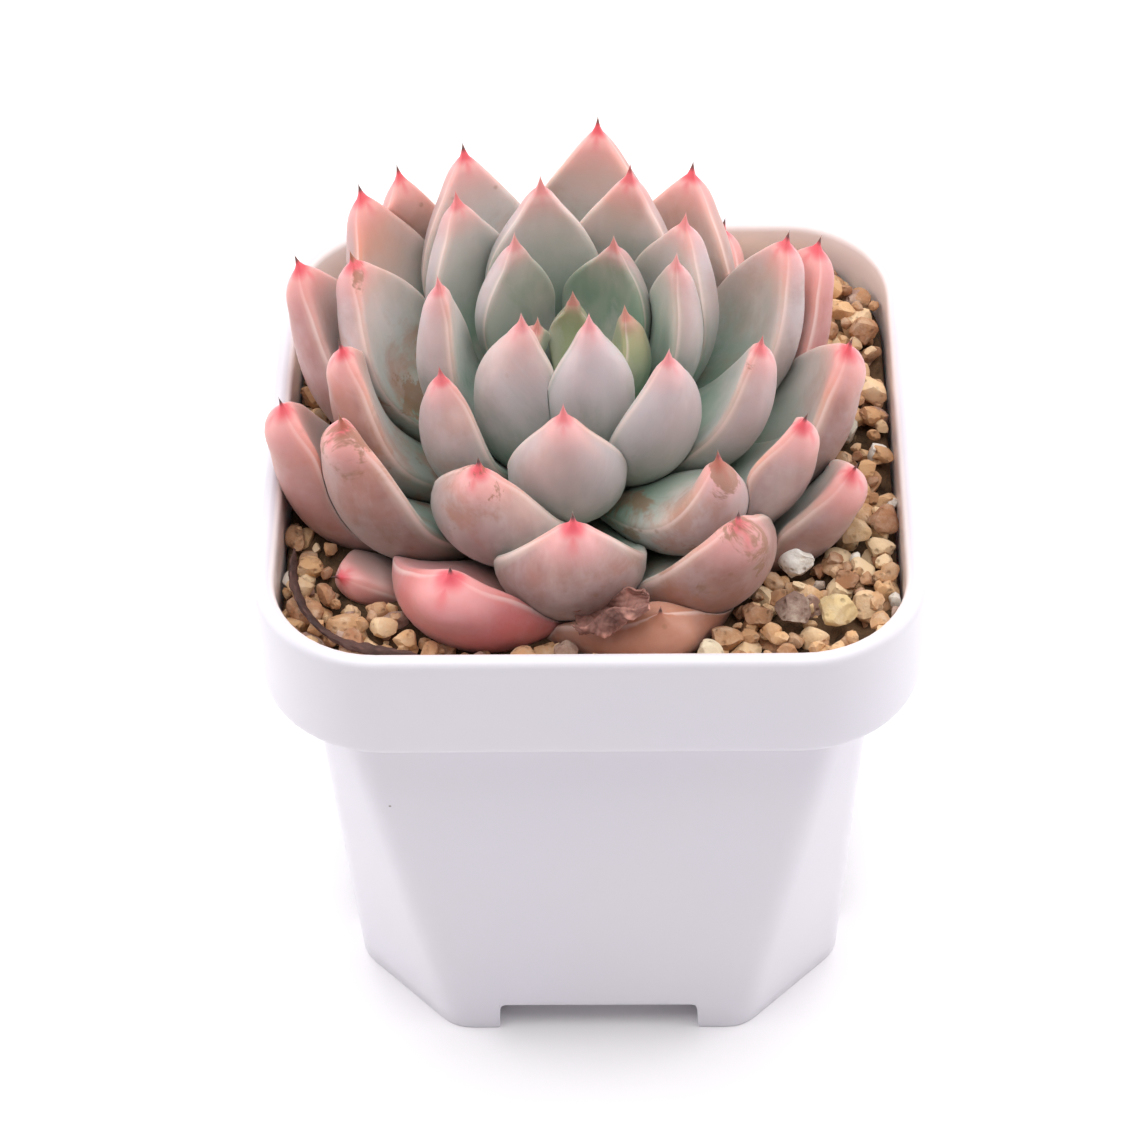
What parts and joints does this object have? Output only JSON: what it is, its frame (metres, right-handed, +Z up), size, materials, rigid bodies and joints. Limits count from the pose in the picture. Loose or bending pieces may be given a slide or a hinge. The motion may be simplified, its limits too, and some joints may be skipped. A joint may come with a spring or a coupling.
{
  "type": "potted succulent",
  "caption": "Rosette succulent with thick pointed leaves, grit on potting mix, in a square moulded plastic pot with a deep collar and notched feet.",
  "frame": {"origin": "middle of the pot's footprint, on the surface it stands on", "axes": "+Z up; X and Y along the sides of the square pot; -Y is the side seen from the front"},
  "size_m": [0.075, 0.075, 0.099],
  "materials": {
    "pot_plastic": "satin moulded, slightly translucent white",
    "potting_mix": "loose, matt",
    "grit": "loose, matt",
    "pumice": "porous, matt",
    "stem": "corky, matt",
    "young_leaf": "waxy bloom",
    "leaf": "waxy bloom",
    "old_leaf": "waxy bloom",
    "dry_leaf": "dry, matt"
  },
  "bodies": {
    "root": {"pot": "pot_plastic", "stem": "stem", "potting_mix": "potting_mix", "leaf_01": "young_leaf", "leaf_02": "young_leaf", "leaf_03": "young_leaf", "leaf_04": "young_leaf", "leaf_05": "young_leaf", "leaf_06": "young_leaf", "leaf_07": "young_leaf", "leaf_08": "young_leaf", "leaf_09": "young_leaf", "leaf_10": "leaf", "leaf_11": "leaf", "leaf_12": "leaf", "leaf_13": "leaf", "leaf_14": "leaf", "leaf_15": "leaf", "leaf_16": "leaf", "leaf_17": "leaf", "leaf_18": "leaf", "leaf_19": "leaf", "leaf_20": "leaf", "leaf_21": "leaf", "leaf_22": "leaf", "leaf_23": "leaf", "leaf_24": "leaf", "leaf_25": "leaf", "leaf_26": "leaf", "leaf_27": "leaf", "leaf_28": "leaf", "leaf_29": "leaf", "leaf_30": "leaf", "leaf_31": "leaf", "leaf_32": "leaf", "leaf_33": "leaf", "leaf_34": "old_leaf", "leaf_35": "old_leaf", "leaf_36": "old_leaf", "leaf_37": "old_leaf", "leaf_38": "old_leaf", "leaf_39": "old_leaf", "leaf_40": "old_leaf", "leaf_41": "old_leaf", "leaf_42": "old_leaf", "dry_stalk_strip": "dry_leaf", "dry_leaf_scrap": "dry_leaf", "stone_white_pumice": "pumice", "stone_cream": "grit", "stone_brown": "grit", "stone_yellow": "grit", "stone_buff": "grit", "stone_grey": "grit", "grit_layer": "grit"}
  },
  "joints": []
}
